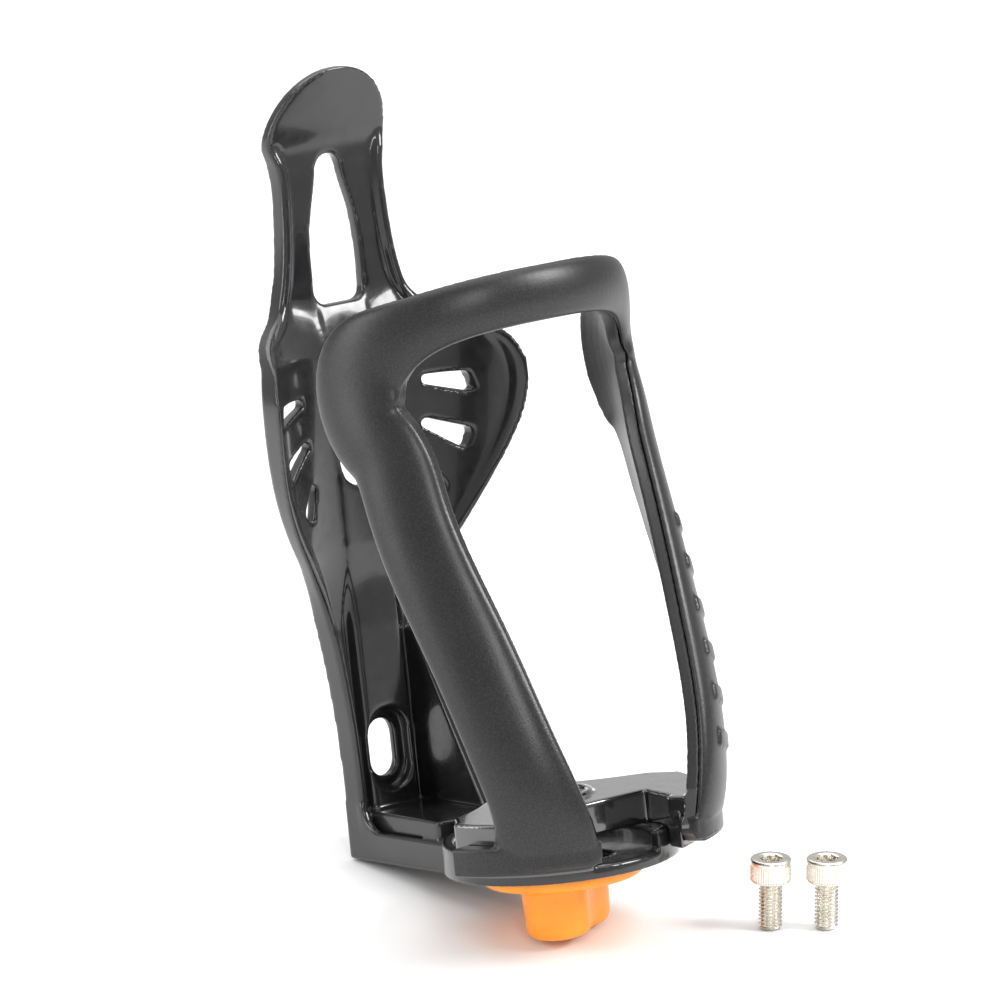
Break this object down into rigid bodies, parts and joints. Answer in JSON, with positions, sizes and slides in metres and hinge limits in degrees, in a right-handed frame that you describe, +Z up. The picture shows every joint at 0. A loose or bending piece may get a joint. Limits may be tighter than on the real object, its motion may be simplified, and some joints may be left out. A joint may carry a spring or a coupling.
{
  "type": "bicycle bottle cage",
  "caption": "Adjustable bicycle bottle cage: vented back plate with a tall tongue, sliding front hoop and an orange clamp knob under the tray.",
  "frame": {"origin": "middle of the two mounting slots, on the rear face that lies against the bicycle frame", "axes": "+Z up along the stem, -Y forward towards the bottle and the hoop, +X to one side; the rear face is Y = 0 and looks along +Y"},
  "size_m": [0.0837, 0.0964, 0.1812],
  "materials": {
    "gloss_black": "glossy",
    "matt_charcoal": "fine spark texture, matt",
    "orange": "semi-gloss",
    "steel": "zinc plated",
    "nickel": "nickel plated"
  },
  "bodies": {
    "root": {"back_plate": "gloss_black"},
    "hoop": {"hoop_frame": "gloss_black", "hoop_cover": "matt_charcoal", "clamp_nut": "steel"},
    "knob": {"clamp_knob": "orange", "clamp_stud": "steel", "clamp_washer": "steel"},
    "bolts": {"frame_bolts": "nickel"}
  },
  "joints": [
    {"name": "hoop_slide", "type": "slide", "parent": "root", "child": "hoop", "axis": [0, -1, 0], "range_m": [0, 0.012]},
    {"name": "knob_turn", "type": "hinge", "parent": "hoop", "child": "knob", "pos_m": [0, -0.062, -0.054], "axis": [0, 0, 1], "range_deg": [-360, 0]},
    {"name": "bolts_lift", "type": "slide", "parent": "root", "child": "bolts", "axis": [0, -0.1788, 0.9839], "range_m": [0, 0.006]}
  ]
}
